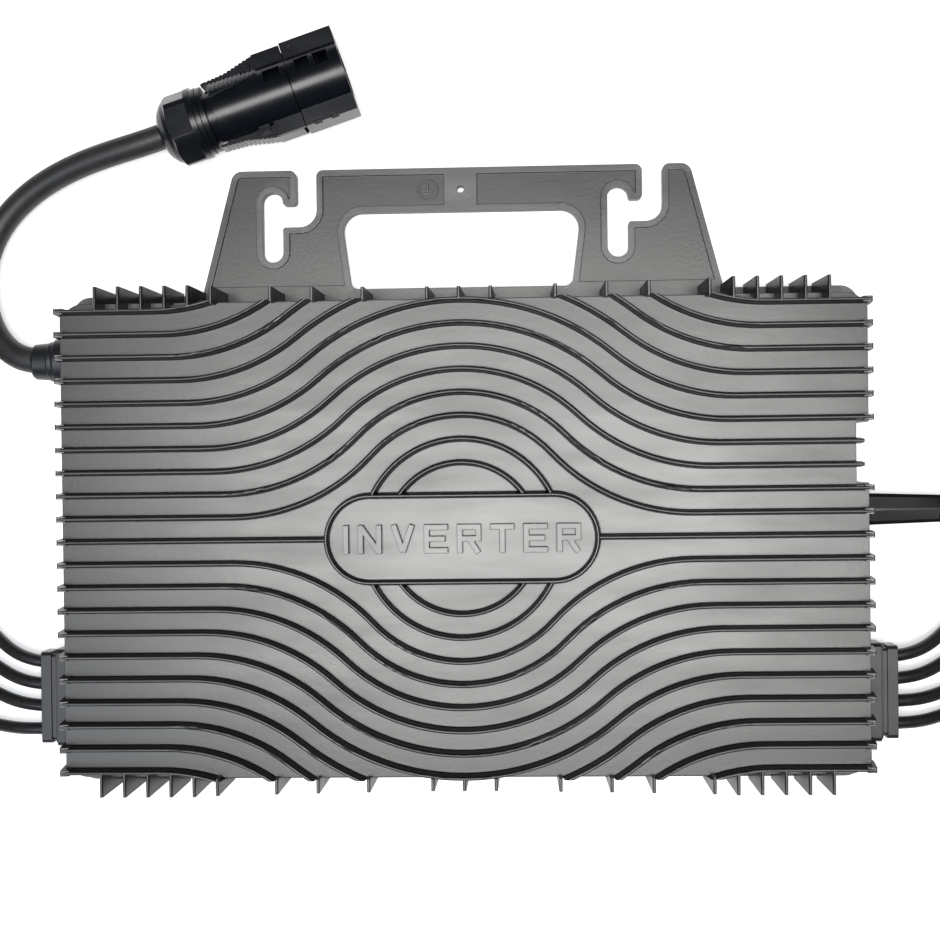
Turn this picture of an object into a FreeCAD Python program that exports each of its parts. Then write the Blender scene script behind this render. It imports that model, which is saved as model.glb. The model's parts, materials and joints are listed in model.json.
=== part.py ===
import FreeCAD, Part
import math
import os
from FreeCAD import Vector, Placement, Rotation

# Four-input photovoltaic microinverter: die-cast finned housing with a hanging
# bracket, lying on its back.  Origin: centre of the back face.  +X right,
# +Y towards the carry handle, +Z out of the fins.  Millimetres.

os.makedirs("parts", exist_ok=True)
doc = FreeCAD.newDocument("Microinverter")
sheet = doc.addObject("Spreadsheet::Sheet", "Dims")
row = [1]


def cell(alias, number):
    sheet.set("A%d" % row[0], alias)
    sheet.set("B%d" % row[0], repr(number))
    sheet.setAlias("B%d" % row[0], alias)
    row[0] += 1


DIMS = dict(
    # housing
    FinTipHalf=180.2, WallHalfWidth=180.8, WallHalfHeight=107.4, FlangeHalfWidth=181.6,
    FlangeHalfHeight=112.6, FlangeCorner=8.0, CoverThick=2.0, FlangeTop=8.0, LedgeTop=28.0,
    SlabTop=34.5, CrestTop=42.0, FinPitch=10.3, FinBaseHalf=1.25, FinNeckHalf=1.1,
    FinCrestHalf=0.8, FirstArcRadius=54.9, ArcStep=10.25, TransitionRadius=85.0,
    CavityHalfWidth=170.0, CavityHalfHeight=104.2, CavityTop=31.0, NotchDepth=6.4,
    BadgeWidth=120.4, BadgeHeight=38.4, BadgePanelTop=37.4, LetterTop=40.4,
    # bracket
    BracketTop=170.0, BarBottom=150.0, HookLeft=-87.5, HookRight=72.5, SlotWidth=9.7,
    SlotBottom=127.5, SlotTop=160.0, PanelDepth=1.5, RimWidth=2.9, EarthHoleY=160.0,
    EarthHoleDia=3.3,
    # boards and inner pieces
    BoardWidth=326.0, BoardHeight=190.0, BoardThick=1.6, BoardLift=5.0, CoverScrewDia=3.0,
    CoreWidth=36.0, CoreDepth=30.0, CoreHeight=15.0, CapacitorDia=14.0, CapacitorHeight=16.0,
    FilmWidth=26.0, FilmDepth=12.0, FilmHeight=15.0, ChokeDia=28.0, ChokeBore=11.0,
    ChokeHeight=12.0, RelayWidth=20.0, RelayDepth=16.0, RelayHeight=15.5, MosfetWidth=10.0,
    MosfetDepth=9.0, MosfetHeight=2.4, PadHeight=1.0, RadioWidth=38.0, RadioDepth=24.0,
    ShieldWidth=26.0, ShieldDepth=18.0, ShieldHeight=3.0,
    # cord exits
    GlandY=82.4, GlandZ=15.5, GlandShank=14.4, GlandCollar=21.0, GlandNose=16.6,
    CableDia=11.8, LeadDia=5.8, LeadZ=16.0, LeadTop=-57.0, LeadPitch=10.0,
    GrommetX=181.0, GrommetFace=194.6, GrommetLong=44.6, GrommetPlate=42.0,
    # field connector
    PlugX=-136.0, PlugY=185.2, PlugZ=16.6, PlugAngle=18.4, NutDia=33.0, NutLong=21.0,
    BarrelDia=29.0, BarrelEnd=64.0, PlugLong=89.0,
    # antenna
    AntennaY=10.3, AntennaZ=17.5, HingeX=222.0, MastLong=92.0,
)
for name, number in DIMS.items():
    cell(name, number)
doc.recompute()
D = {name: float(getattr(sheet, name)) for name in DIMS}

nodes = []          # objects written to parts/, one file each


def bind(obj, **exprs):
    for prop, expr in exprs.items():
        obj.setExpression(prop, expr)


def keep(obj, label):
    obj.Label = label
    nodes.append(obj)
    return obj


def feature(label, shape, placement=None):
    obj = doc.addObject("Part::Feature", label)
    obj.Shape = shape
    if placement is not None:
        obj.Placement = placement
    return keep(obj, label)


def box_expr(name, lx, ly, lz, x, y, z):
    b = doc.addObject("Part::Box", name)
    bind(b, Length=lx, Width=ly, Height=lz)
    b.setExpression("Placement.Base.x", x)
    b.setExpression("Placement.Base.y", y)
    b.setExpression("Placement.Base.z", z)
    return b


# ---------------------------------------------------------------- helpers
def poly_face(points, z):
    """Closed outline of (x, y, corner radius) as a face at height z."""
    edges = []
    count = len(points)
    cut = []
    for i, (x, y, r) in enumerate(points):
        p = Vector(x, y, z)
        a = Vector(points[i - 1][0], points[i - 1][1], z)
        b = Vector(points[(i + 1) % count][0], points[(i + 1) % count][1], z)
        u = (a - p).normalize()
        v = (b - p).normalize()
        if r <= 0:
            cut.append((p, None, p))
            continue
        ang = u.getAngle(v)
        back = r / math.tan(ang / 2)
        mid_dir = (u + v).normalize()
        centre = p + mid_dir * (r / math.sin(ang / 2))
        cut.append((p + u * back, centre - mid_dir * r, p + v * back))
    for i in range(count):
        s, m, e = cut[i]
        if m is not None:
            edges.append(Part.Arc(s, m, e).toShape())
        nxt = cut[(i + 1) % count][0]
        if (nxt - e).Length > 1e-6:
            edges.append(Part.LineSegment(e, nxt).toShape())
    return Part.Face(Part.Wire(edges))


def prism(points, z0, z1):
    return poly_face(points, z0).extrude(Vector(0, 0, z1 - z0))


def plate(hx, hy, r, z0, z1, cx=0.0, cy=0.0):
    return prism([(cx - hx, cy - hy, r), (cx + hx, cy - hy, r), (cx + hx, cy + hy, r), (cx - hx, cy + hy, r)], z0, z1)


def box(x0, x1, y0, y1, z0, z1):
    return Part.makeBox(x1 - x0, y1 - y0, z1 - z0, Vector(x0, y0, z0))


def cyl(r, x, y, z, length, axis=(0, 0, 1)):
    return Part.makeCylinder(r, length, Vector(x, y, z), Vector(*axis))


def turned(profile, axis=(1, 0, 0)):
    """Solid of revolution about the X axis from (x, r) points."""
    pts = [Vector(x, r, 0) for x, r in profile]
    wire = Part.makePolygon(pts + [pts[0]])
    return Part.Face(wire).revolve(Vector(0, 0, 0), Vector(*axis), 360)


def route_wire(points):
    """Straight runs joined by tangent arcs; returns the wire and the radii."""
    pts = [Vector(*p) for p in points]
    edges, radii, last = [], [], pts[0]
    for i in range(1, len(pts) - 1):
        a, p, b = pts[i - 1], pts[i], pts[i + 1]
        u, v = a - p, b - p
        short = min(u.Length, v.Length)
        u.normalize()
        v.normalize()
        turn = math.pi - u.getAngle(v)
        back = 0.45 * short
        radius = back / math.tan(turn / 2)
        radii.append(round(radius, 1))
        start, end = p + u * back, p + v * back
        half = (u + v).normalize()
        centre = p + half * (radius / math.cos(turn / 2))
        mid = centre - half * radius
        edges.append(Part.LineSegment(last, start).toShape())
        edges.append(Part.Arc(start, mid, end).toShape())
        last = end
    edges.append(Part.LineSegment(last, pts[-1]).toShape())
    return Part.Wire(edges), radii


def tube(label, points, diameter):
    wire, radii = route_wire(points)
    first = Vector(*points[1]) - Vector(*points[0])
    circle = Part.Wire(Part.makeCircle(diameter / 2, Vector(*points[0]), first))
    shape = wire.makePipeShell([circle], True, False)
    if shape.ShapeType != "Solid":
        shape = Part.Solid(shape) if shape.ShapeType == "Shell" else shape.Solids[0]
    want = math.pi * diameter ** 2 / 4 * wire.Length
    print("%s length %.1f radii %s volume ratio %.4f" % (label, wire.Length, radii, shape.Volume / want))
    return shape


def fused(parts):
    out = parts[0].multiFuse(parts[1:]) if len(parts) > 1 else parts[0]
    out = out.removeSplitter()
    if out.Volume < max(q.Volume for q in parts) - 1e-3:
        raise RuntimeError("a fuse lost a piece")
    return out


# ---------------------------------------------------------------- casting
P = D["FinPitch"]
TIP = D["FinTipHalf"]


def fin_profile(x, y):
    zb, zs, zc = D["SlabTop"] - 1.0, D["SlabTop"] + 1.4, D["CrestTop"]
    b, n, c = D["FinBaseHalf"], D["FinNeckHalf"], D["FinCrestHalf"]
    pts = [(-b - 0.25, zb), (-n - 0.05, zs), (-c, zc - c), None, (c, zc - c), (n + 0.05, zs), (b + 0.25, zb)]
    v = [Vector(x, y + p[0], p[1]) for p in pts if p]
    edges = [Part.LineSegment(v[0], v[1]).toShape(), Part.LineSegment(v[1], v[2]).toShape(),
             Part.Arc(v[2], Vector(x, y, zc), v[3]).toShape(),
             Part.LineSegment(v[3], v[4]).toShape(), Part.LineSegment(v[4], v[5]).toShape(),
             Part.LineSegment(v[5], v[0]).toShape()]
    return Part.Wire(edges)


def fin(j):
    """One wave-shaped fin: straight, outward bend, arc about the badge, mirrored."""
    rho = D["TransitionRadius"]
    y = P * j
    r = D["FirstArcRadius"] + D["ArcStep"] * (j - 1)
    a = math.sqrt((r + rho) ** 2 - (y + rho) ** 2)
    k = r / (r + rho)
    tx, ty = a * k, (y + rho) * k
    z = D["SlabTop"] - 1.0
    mid_ang = (-math.pi / 2 + math.atan2(ty - (y + rho), a - tx)) / 2
    left_mid = Vector(-a + rho * math.cos(mid_ang), y + rho + rho * math.sin(mid_ang), z)
    right_mid = Vector(-left_mid.x, left_mid.y, z)
    edges = [Part.LineSegment(Vector(-TIP, y, z), Vector(-a, y, z)).toShape(),
             Part.Arc(Vector(-a, y, z), left_mid, Vector(-tx, ty, z)).toShape(),
             Part.Arc(Vector(-tx, ty, z), Vector(0, r, z), Vector(tx, ty, z)).toShape(),
             Part.Arc(Vector(tx, ty, z), right_mid, Vector(a, y, z)).toShape(),
             Part.LineSegment(Vector(a, y, z), Vector(TIP, y, z)).toShape()]
    solid = Part.Wire(edges).makePipeShell([fin_profile(-TIP, y)], True, False)
    return solid if solid.ShapeType == "Solid" else solid.Solids[0]


limit = box(-200, 200, 0, 106.8, 20, 50)
upper = []
for j in range(1, 11):
    f = fin(j)
    if j > 6:
        f = f.common(limit)
    upper.extend(f.Solids)
lower = [s.mirror(Vector(0, 0, 0), Vector(0, 1, 0)) for s in upper]
WALL_CUT = D["WallHalfWidth"] - D["NotchDepth"]
notch = box(WALL_CUT, 200, 2 * P + 2.0, 5 * P - 2.0, -1, 60)
notch_fins = box(WALL_CUT + 2.0, 200, 2 * P + 2.0, 5 * P - 2.0, -1, 60)


def half_ring(radius, sign):
    """Arc-shaped fin about the badge, cut off where it meets the badge rim."""
    ring = Part.Face(fin_profile(0, 0))
    ring.rotate(Vector(0, 0, 0), Vector(0, 0, 1), -90)
    ring.translate(Vector(radius, 0, 0))
    solid = ring.revolve(Vector(0, 0, 0), Vector(0, 0, 1), 360)
    y0 = D["BadgeHeight"] / 2 - 0.4
    keep_box = box(-80, 80, y0, 80, 20, 50) if sign > 0 else box(-80, 80, -80, -y0, 20, 50)
    return solid.common(keep_box).Solids[0]


arcs = [half_ring(r, s) for r in (33.8, 44.3) for s in (1, -1)]


def pill_wire(hw, hh, z):
    c = hw - hh
    return Part.Wire([Part.LineSegment(Vector(-c, hh, z), Vector(c, hh, z)).toShape(),
                      Part.Arc(Vector(c, hh, z), Vector(hw, 0, z), Vector(c, -hh, z)).toShape(),
                      Part.LineSegment(Vector(c, -hh, z), Vector(-c, -hh, z)).toShape(),
                      Part.Arc(Vector(-c, -hh, z), Vector(-hw, 0, z), Vector(-c, hh, z)).toShape()])


def badge_rim():
    """Raised pill-shaped rim with drafted walls and a narrow rounded top."""
    hw, hh, t, c = D["BadgeWidth"] / 2, D["BadgeHeight"] / 2, D["CrestTop"] + 0.35, D["FinCrestHalf"]
    steps = [(D["SlabTop"] - 1.0, 1.6), (t - 0.8, c), (t - 0.25, c * 0.72), (t, c * 0.25)]
    outer = Part.makeLoft([pill_wire(hw + k, hh + k, z) for z, k in steps], True, True)
    inner = Part.makeLoft([pill_wire(hw - k, hh - k, z) for z, k in steps], True, True)
    return outer.cut(inner).Solids[0]


rim = badge_rim()
bw, bh = D["BadgeWidth"] / 2, D["BadgeHeight"] / 2
panel = Part.Face(pill_wire(bw, bh, D["SlabTop"] - 1.0)).extrude(Vector(0, 0, D["BadgePanelTop"] - D["SlabTop"] + 1.0))

# straight centre fin, in two lengths that end on the badge rim
centre_fins = []
for sign in (-1, 1):
    z = D["SlabTop"] - 1.0
    wire = Part.Wire([Part.LineSegment(Vector(sign * TIP, 0, z), Vector(sign * (bw - 0.2), 0, z)).toShape()])
    s = wire.makePipeShell([fin_profile(sign * TIP, 0)], True, False)
    centre_fins.append(s if s.ShapeType == "Solid" else s.Solids[0])

# outer edge of the front slab follows the outermost fins
EX = D["FinTipHalf"] - 0.35
edge_pts = [(-EX, 104.3, 0), (-150, 104.3, 0), (-133, 105.0, 0), (-119, 106.5, 0), (119, 106.5, 0), (133, 105.0, 0), (150, 104.3, 0), (EX, 104.3, 0)]
slab = prism([(x, -y, r) for x, y, r in edge_pts] + [(x, y, r) for x, y, r in reversed(edge_pts)], D["LedgeTop"] - 0.5, D["SlabTop"])
wall = plate(D["WallHalfWidth"], D["WallHalfHeight"], 9.0, D["FlangeTop"] - 0.5, D["LedgeTop"])
flange = plate(D["FlangeHalfWidth"], D["FlangeHalfHeight"], D["FlangeCorner"], D["CoverThick"], D["FlangeTop"])

# edge ribs between the fins and the flange
ribs = []
for x, y0, y1 in [(162, 102.8, 113.7), (151.6, 102.8, 113.7), (141.2, 102.8, 113.7), (130.8, 103.5, 113.7), (120.4, 104.5, 113.7),
                  (110, 105.5, 113.2), (83.5, 106, 112.6), (65, 106, 112.2), (42.5, 106, 111.8), (14, 106, 111.4), (0, 106, 111.4)]:
    prof = Part.Face(Part.makePolygon([Vector(px, 0, pz) for px, pz in
                     [(-1.3, 7.5), (1.3, 7.5), (0.8, 41.2), (0.35, 42.0), (-0.35, 42.0), (-0.8, 41.2), (-1.3, 7.5)]]))
    rib = prof.extrude(Vector(0, y1 - y0, 0))
    for sx in ((1, -1) if x else (1,)):
        for sy in (1, -1):
            c = rib.copy()
            if sy > 0:
                c.translate(Vector(x * sx, y0, 0))
            else:
                c.translate(Vector(x * sx, -y1, 0))
            ribs.append(c)

# fin ends run down the side walls as small tapering ribs
side = []
for j in range(-10, 11):
    prof = Part.Face(Part.makePolygon([Vector(px, 0, pz) for px, pz in
                     [(176.5, 8.4), (181.5, 8.4), (182.4, 28.0), (180.7, 41.2), (180.0, 41.9), (176.5, 41.4), (176.5, 8.4)]]))
    for sx in (1, -1):
        s = prof.extrude(Vector(0, 2.5, 0))
        s.translate(Vector(0, P * j - 1.25, 0))
        if sx < 0:
            s = s.mirror(Vector(0, 0, 0), Vector(1, 0, 0))
        # room for the gland collar, the lead grommets and the antenna root
        if sx < 0 and j in (7, 8, 9):
            s = s.cut(box(-190, -170, 60, 100, 0, 26.6))
        if j in (-9, -8, -7, -6, -5):
            s = s.cut(box(170, 190, -100, -46, 0, 26.0) if sx > 0 else box(-190, -170, -100, -46, 0, 26.0))
        if sx > 0 and j in (0, 1, 2):
            s = s.cut(box(170, 190, -5, 22, 0, 26.0))
        side.extend(s.Solids)

# ---------------------------------------------------------------- badge word
def letter(ch, w=10.6, hgt=12.7, t=2.4):
    def bar(x0, y0, x1, y1):
        d = Vector(x1 - x0, y1 - y0, 0)
        n = Vector(-d.y, d.x, 0).normalize() * (t / 2)
        a, b = Vector(x0, y0, 0), Vector(x1, y1, 0)
        return Part.Face(Part.makePolygon([a + n, b + n, b - n, a - n, a + n])).extrude(Vector(0, 0, 3.7))
    e = t / 2
    top, bot, lft, rgt, mid = hgt - e, e, e, w - e, hgt / 2
    lines = {
        "I": [(w / 2, 0, w / 2, hgt)],
        "N": [(lft, 0, lft, hgt), (rgt, 0, rgt, hgt), (lft, hgt - 0.6, rgt, 0.6)],
        "V": [(e, hgt, w / 2, e * 0.6), (w - e, hgt, w / 2, e * 0.6)],
        "E": [(lft, 0, lft, hgt), (lft, top, w, top), (lft, mid, w - 1.2, mid), (lft, bot, w, bot)],
        "R": [(lft, 0, lft, hgt), (lft, top, w - 0.2, top), (lft, mid, w - 0.2, mid), (rgt, mid - e, rgt, hgt), (w / 2, mid, w - e, 0)],
        "T": [(w / 2, 0, w / 2, hgt), (0, top, w, top)],
    }[ch]
    return [bar(*ln) for ln in lines]


word = []
gap = 4.1
widths = {"I": 2.4}
cursor = 0.0
chars = "INVERTER"
total = sum(widths.get(c, 10.6) for c in chars) + gap * (len(chars) - 1)
cursor = -total / 2
for ch in chars:
    wd = widths.get(ch, 10.6)
    for s in letter(ch, wd):
        s.translate(Vector(cursor, -6.35, D["LetterTop"] - 3.7))
        word.append(s)
    cursor += wd + gap

# ---------------------------------------------------------------- bracket
def hook(xs):
    w, top = D["SlotWidth"] / 2, D["BracketTop"]
    return [(xs + 11.2, top, 3.0), (xs + 11.2, 154.0, 2.0), (xs + w, 154.0, 1.4), (xs + w, D["SlotTop"], w - 0.05),
            (xs - w, D["SlotTop"], w - 0.05), (xs - w, D["SlotBottom"], w - 0.05), (xs + w, D["SlotBottom"], w - 0.05),
            (xs + w, 143.7, 1.2), (xs + 20.6, 143.7, 8.0), (xs + 20.6, top, 3.0)]


outline = [(-121.0, 111.0, 0), (-105.5, 170.0, 5.0)] + hook(D["HookLeft"]) + hook(D["HookRight"]) + [(105.5, 170.0, 5.0), (121.0, 111.0, 0)]
window = [(-51.2, 114.6, 4.0), (-55.7, D["BarBottom"], 8.5), (55.7, D["BarBottom"], 8.5), (51.2, 114.6, 4.0)]
z0, z1 = D["CoverThick"], D["FlangeTop"]
bracket = prism(outline, z0, z1).cut(prism(window, z0 - 1, z1 + 1))
top_face = poly_face(outline, z1).cut(poly_face(window, z1)).Faces[0]
inner = top_face.makeOffset2D(-D["RimWidth"])
recess = inner.extrude(Vector(0, 0, -D["PanelDepth"]))
recess = recess.cut(box(-7.6, 7.6, 140, 180, 0, 20)).cut(box(-200, 200, 90, 116.4, 0, 20))
bracket = bracket.cut(recess)
bracket = bracket.cut(cyl(D["EarthHoleDia"] / 2, 0, D["EarthHoleY"], 0, 20))
earth = [cyl(4.9, -15.2, 159.8, 6.4, 0.7).cut(cyl(4.1, -15.2, 159.8, 6.0, 3.0)),
         box(-15.6, -14.8, 159.4, 163.0, 6.4, 7.1), box(-18.0, -12.4, 159.2, 160.0, 6.4, 7.1),
         box(-17.2, -13.2, 157.8, 158.6, 6.4, 7.1), box(-16.2, -14.2, 156.5, 157.2, 6.4, 7.1)]

def grown(base, piece, share=0.02):
    """Fuse one piece on and make sure it has really been added."""
    out = base.fuse(piece)
    if out.Volume < base.Volume + share * piece.Volume or len(out.Solids) != 1:
        raise RuntimeError("a piece was lost in a fuse: %d solids" % len(out.Solids))
    return out


front = fused([slab] + upper + lower + centre_fins)
for piece in [panel, rim] + arcs + word:
    front = grown(front, piece)
front = front.removeSplitter()
shell = fused([wall, flange, bracket] + earth)
body = shell.fuse(front)
together = body.multiFuse(ribs + side)
if len(together.Solids) == 1 and together.isValid() and together.Volume > body.Volume + 500:
    body = together
else:
    for piece in ribs + side:
        body = grown(body, piece)
body = body.removeSplitter()
cavity = fused([plate(D["CavityHalfWidth"], D["CavityHalfHeight"], 5.0, 0, 19.0),
                plate(169.8, 98.0, 5.0, 18.5, D["CavityTop"])])
body = body.cut(cavity)
# bosses for the board, and the pedestal that cools the switches
lift = D["BoardLift"] + D["BoardThick"]
BOARD_HOLES = [(-150, 48), (-130, -86), (-100, 88), (0, 86), (0, -86), (150, 88), (134, -86)]
bosses = [cyl(4.0, x, y, lift, D["SlabTop"] - 1.0 - lift) for x, y in BOARD_HOLES]
pedestal = box(-112, 112, 49, 67, lift + D["MosfetHeight"] + D["PadHeight"], D["SlabTop"] - 1.0)
body = fused([body, pedestal] + bosses)
for x, y in BOARD_HOLES:
    body = body.cut(cyl(1.35, x, y, 0, 16.0))
COVER_SCREWS = [(x, y) for y in (-109.0, 109.0) for x in (-168, -84, 0, 84, 168)]
for x, y in COVER_SCREWS:
    body = body.cut(cyl(1.4, x, y, 0, 7.6))
groove = plate(172.4, 106.7, 6.4, 1.0, 3.2).cut(plate(170.9, 105.2, 5.4, 0.0, 5.0))
body = body.cut(groove)
# bores in the side walls: gland, antenna socket, lead grommets
body = body.cut(cyl(D["GlandShank"] / 2 + 0.05, -190, D["GlandY"], D["GlandZ"], 30, (1, 0, 0)))
body = body.cut(box(-190, -180.7, 71.5, 93.3, 4.6, 26.4))
body = body.cut(cyl(3.25, 160, D["AntennaY"], D["AntennaZ"], 30, (1, 0, 0)))
for sx in (-1, 1):
    x0, x1 = sorted((sx * 165.0, sx * 190.0))
    body = body.cut(box(x0, x1, -91.5, -52.5, 10.5, 21.5))
body = body.cut(notch.common(box(100, 200, 0, 100, -1, D["SlabTop"]))).cut(notch_fins)
print("housing solids", len(body.Solids), "volume", round(body.Volume), "valid", body.isValid())
for piece in [rim] + arcs + centre_fins[:1]:
    if piece.common(body).Volume < 0.95 * piece.Volume:
        raise RuntimeError("a badge piece is missing from the housing")
if len(body.Solids) != 1:
    raise RuntimeError("the housing is not one solid")
housing = feature("finned_housing", body.Solids[0])

# ---------------------------------------------------------------- back
def role_plane(bd, role):
    for f in bd.Origin.OriginFeatures:
        if f.Role == role:
            return f


def rect_sketch(bd, name, wide, high, lift_expr=None):
    """Sketch of a centred rectangle whose two sizes are bound to the sheet."""
    import Sketcher
    sk = bd.newObject("Sketcher::SketchObject", name)
    sk.AttachmentSupport = [(role_plane(bd, "XY_Plane"), "")]
    sk.MapMode = "FlatFace"
    pts = [(-10, -10), (10, -10), (10, 10), (-10, 10)]
    for i in range(4):
        a, b = pts[i], pts[(i + 1) % 4]
        sk.addGeometry(Part.LineSegment(Vector(a[0], a[1], 0), Vector(b[0], b[1], 0)), False)
    for i in range(4):
        sk.addConstraint(Sketcher.Constraint("Coincident", i, 2, (i + 1) % 4, 1))
    sk.addConstraint(Sketcher.Constraint("Horizontal", 0))
    sk.addConstraint(Sketcher.Constraint("Horizontal", 2))
    sk.addConstraint(Sketcher.Constraint("Vertical", 1))
    sk.addConstraint(Sketcher.Constraint("Vertical", 3))
    sk.addConstraint(Sketcher.Constraint("Symmetric", 0, 1, 2, 1, -1, 1))
    w = sk.addConstraint(Sketcher.Constraint("DistanceX", 0, 1, 0, 2, 20.0))
    h = sk.addConstraint(Sketcher.Constraint("DistanceY", 1, 1, 1, 2, 20.0))
    sk.renameConstraint(w, "Wide")
    sk.renameConstraint(h, "High")
    sk.setExpression("Constraints.Wide", wide)
    sk.setExpression("Constraints.High", high)
    if lift_expr:
        sk.setExpression("AttachmentOffset.Base.z", lift_expr)
    return sk


def plate_body(label, wide, high, thick, base_z, corner, holes=(), hole_dia=3.0, sink=None):
    """PartDesign plate: sketch, pad, rounded corners, one pocket of round holes."""
    bd = doc.addObject("PartDesign::Body", label)
    doc.recompute()
    sk = rect_sketch(bd, label + "_outline", wide, high, base_z)
    pad = bd.newObject("PartDesign::Pad", label + "_pad")
    pad.Profile = sk
    pad.setExpression("Length", thick)
    doc.recompute()
    tip = pad
    if corner > 0:
        upright = [i + 1 for i, e in enumerate(pad.Shape.Edges)
                   if abs(e.BoundBox.XLength) < 1e-6 and abs(e.BoundBox.YLength) < 1e-6]
        fl = bd.newObject("PartDesign::Fillet", label + "_corners")
        fl.Base = (pad, ["Edge%d" % i for i in upright])
        fl.Radius = corner
        tip = fl
        doc.recompute()
    if holes:
        before = bd.Shape.Volume
        hs = bd.newObject("Sketcher::SketchObject", label + "_hole_places")
        hs.AttachmentSupport = [(role_plane(bd, "XY_Plane"), "")]
        hs.MapMode = "FlatFace"
        for x, y in holes:
            hs.addGeometry(Part.Circle(Vector(x, y, 0), Vector(0, 0, 1), hole_dia / 2), False)
        pk = bd.newObject("PartDesign::Pocket", label + "_holes")
        pk.Profile = hs
        pk.Type = "ThroughAll"
        pk.Midplane = True
        doc.recompute()
        tip = pk
        if not bd.Shape.Volume < before - 1:
            raise RuntimeError("holes cut nothing in " + label)
    bd.Tip = tip
    doc.recompute()
    return keep(bd, label)


cover = plate_body("cover_blank", "2*Dims.WallHalfWidth - 1", "2*Dims.FlangeHalfHeight - 1", "Dims.CoverThick", "0*Dims.CoverThick", 7.5, COVER_SCREWS, 3.2)
nodes.remove(cover)
cv = cover.Shape.copy()
for x, y in COVER_SCREWS:
    cv = cv.cut(Part.makeCone(2.95, 1.6, 1.5, Vector(x, y, 0)))
cv = cv.cut(box(WALL_CUT - 0.5, 200, 2 * P + 1.5, 5 * P - 1.5, -1, 5))
feature("rear_cover", cv.Solids[0])
gasket = plate(172.3, 106.6, 6.3, D["CoverThick"], 3.15).cut(plate(171.0, 105.3, 5.5, 0.0, 5.0))
feature("cover_gasket", gasket)
screws = []
for x, y in COVER_SCREWS:
    head = Part.makeCone(2.85, 1.5, 1.45, Vector(x, y, 0.1)).cut(box(x - 1.6, x + 1.6, y - 0.3, y + 0.3, 0, 0.7)).cut(box(x - 0.3, x + 0.3, y - 1.6, y + 1.6, 0, 0.7))
    screws.append(head.fuse(cyl(1.35, x, y, 1.5, 5.9)).removeSplitter())
feature("cover_screws", Part.makeCompound(screws))

# ---------------------------------------------------------------- boards
board = plate_body("main_board", "Dims.BoardWidth", "Dims.BoardHeight", "Dims.BoardThick", "Dims.BoardLift", 3.0, BOARD_HOLES, 3.2)
bs = []
for x, y in BOARD_HOLES:
    bs.append(cyl(2.7, x, y, D["BoardLift"] - 2.0, 2.0).fuse(cyl(1.3, x, y, D["BoardLift"] - 0.1, 10.0)).cut(cyl(1.2, x, y, 2.0, 2.2)).removeSplitter())
feature("board_screws", Part.makeCompound(bs))

zt = lift
CORES = [(-116, -18), (-62, -18), (-8, -18), (46, -18)]
cores, windings = [], []
for x, y in CORES:
    w, d, hh = D["CoreWidth"], D["CoreDepth"], D["CoreHeight"]
    c = box(x - w / 2, x + w / 2, y - d / 2, y + d / 2, zt, zt + hh)
    for s in (-1, 1):
        xa, xb = sorted((x + s * 5.5, x + s * 13.5))
        c = c.cut(box(xa, xb, y - d, y + d, zt + 3.2, zt + hh - 3.2))
    cores.append(c)
    wd = plate(13.2, 21.5, 4.0, zt + 3.4, zt + hh - 3.4, x, y).cut(plate(5.8, 15.3, 0.5, 0, 40, x, y))
    windings.append(wd)
feature("transformer_cores", Part.makeCompound(cores))
feature("transformer_windings", Part.makeCompound(windings))


def group(label, kind, places, dims, cut=None):
    """A row of equal pieces standing on the board, each bound to the sheet."""
    members = []
    for i, (x, y) in enumerate(places):
        if kind == "cyl":
            o = doc.addObject("Part::Cylinder", "%s_%d" % (label, i + 1))
            bind(o, Radius="Dims.%s/2" % dims[0], Height="Dims.%s" % dims[1])
            o.setExpression("Placement.Base.x", repr(float(x)))
            o.setExpression("Placement.Base.y", repr(float(y)))
        else:
            o = doc.addObject("Part::Box", "%s_%d" % (label, i + 1))
            bind(o, Length="Dims." + dims[0], Width="Dims." + dims[1], Height="Dims." + dims[2])
            o.setExpression("Placement.Base.x", "%r - Dims.%s/2" % (float(x), dims[0]))
            o.setExpression("Placement.Base.y", "%r - Dims.%s/2" % (float(y), dims[1]))
        o.setExpression("Placement.Base.z", "Dims.BoardLift + Dims.BoardThick")
        members.append(o)
    doc.recompute()
    comp = doc.addObject("Part::Compound", label)
    comp.Links = members
    doc.recompute()
    return keep(comp, label)


group("input_capacitors", "cyl", [(-130 + 18 * i, -58) for i in range(10)], ("CapacitorDia", "CapacitorHeight"))
group("film_capacitors", "box", [(82, 20), (82, 0), (82, -20), (82, -40)], ("FilmWidth", "FilmDepth", "FilmHeight"))
group("grid_relays", "box", [(-130, 28), (-104, 28), (-78, 28), (-52, 28)], ("RelayWidth", "RelayDepth", "RelayHeight"))
group("power_mosfets", "box", [(-99 + 18 * i, 58) for i in range(12)], ("MosfetWidth", "MosfetDepth", "MosfetHeight"))
pads = [box(-99 + 18 * i - 6, -99 + 18 * i + 6, 52, 64, lift + D["MosfetHeight"], lift + D["MosfetHeight"] + D["PadHeight"]) for i in range(12)]
feature("thermal_pads", Part.makeCompound(pads))
chokes = []
for x, y in [(-8, 26), (26, 26), (116, -64)]:
    c = cyl(D["ChokeDia"] / 2, x, y, zt, D["ChokeHeight"]).cut(cyl(D["ChokeBore"] / 2, x, y, 0, 60))
    es = [e for e in c.Edges if abs(e.BoundBox.ZLength) < 1e-6]
    chokes.append(c.makeFillet(2.0, es))
feature("filter_chokes", Part.makeCompound(chokes))

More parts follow.
